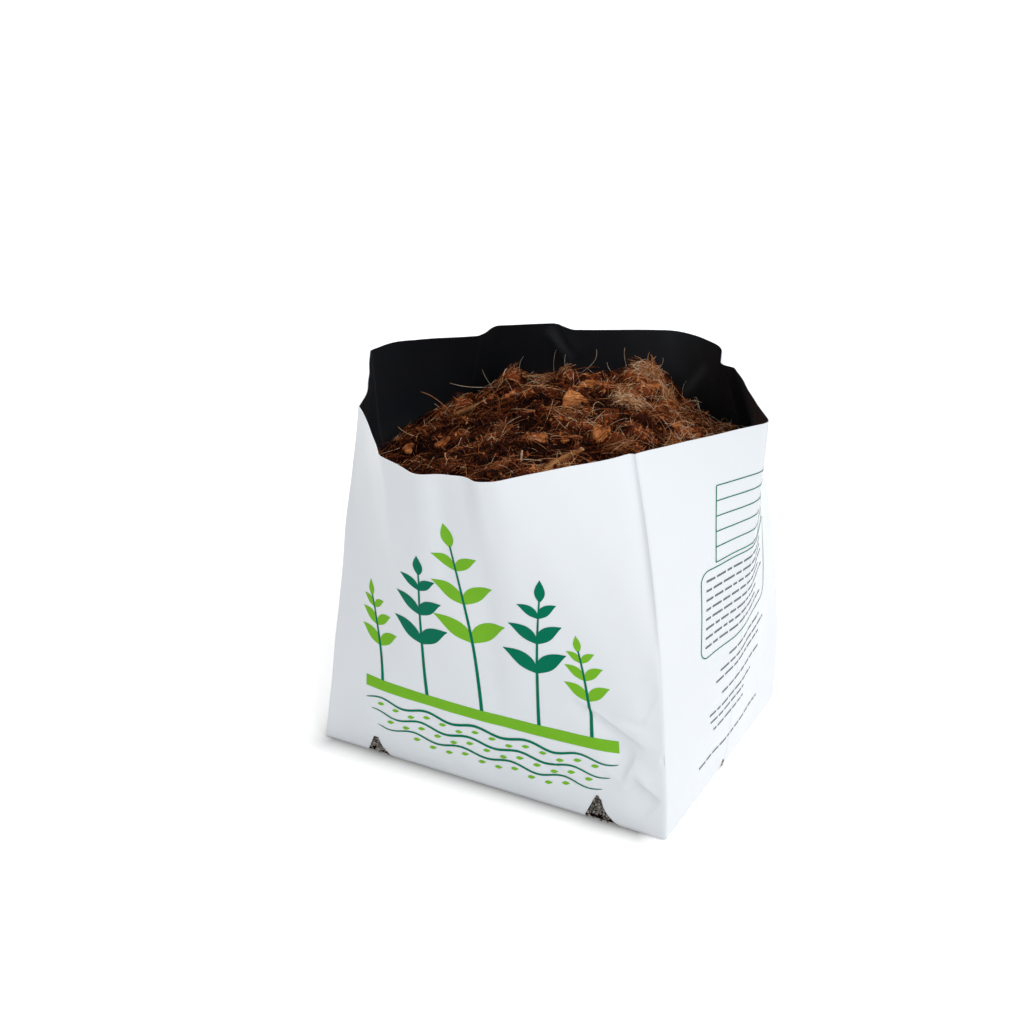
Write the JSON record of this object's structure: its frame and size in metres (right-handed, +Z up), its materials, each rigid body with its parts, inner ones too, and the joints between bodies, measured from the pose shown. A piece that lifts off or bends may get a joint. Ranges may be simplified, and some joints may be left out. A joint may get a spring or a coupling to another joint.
{
  "type": "compost bag",
  "caption": "Open-topped side-gusseted film bag, white outside and black inside, standing on its flat base and filled with a heap of loose coir, husk chips and fibres.",
  "frame": {"origin": "middle of the underside of the flat base", "axes": "+Z up, the printed front faces -Y, +X towards the right gusset as seen from the front"},
  "size_m": [0.2132, 0.2099, 0.2],
  "materials": {
    "film": "glossy white film, black inside",
    "coir": "moist crumbs and fibres",
    "husk": "rough dry husk",
    "stick": "split dry wood"
  },
  "bodies": {
    "root": {"film_bag": "film", "coir_fill": "coir", "husk_chip_01": "husk", "husk_chip_02": "husk", "husk_chip_03": "husk", "husk_chip_04": "husk", "husk_chip_05": "husk", "husk_chip_06": "husk", "husk_chip_07": "husk", "husk_chip_08": "husk", "husk_chip_09": "husk", "husk_chip_10": "husk", "husk_stick_01": "stick", "husk_stick_02": "stick"}
  },
  "joints": []
}
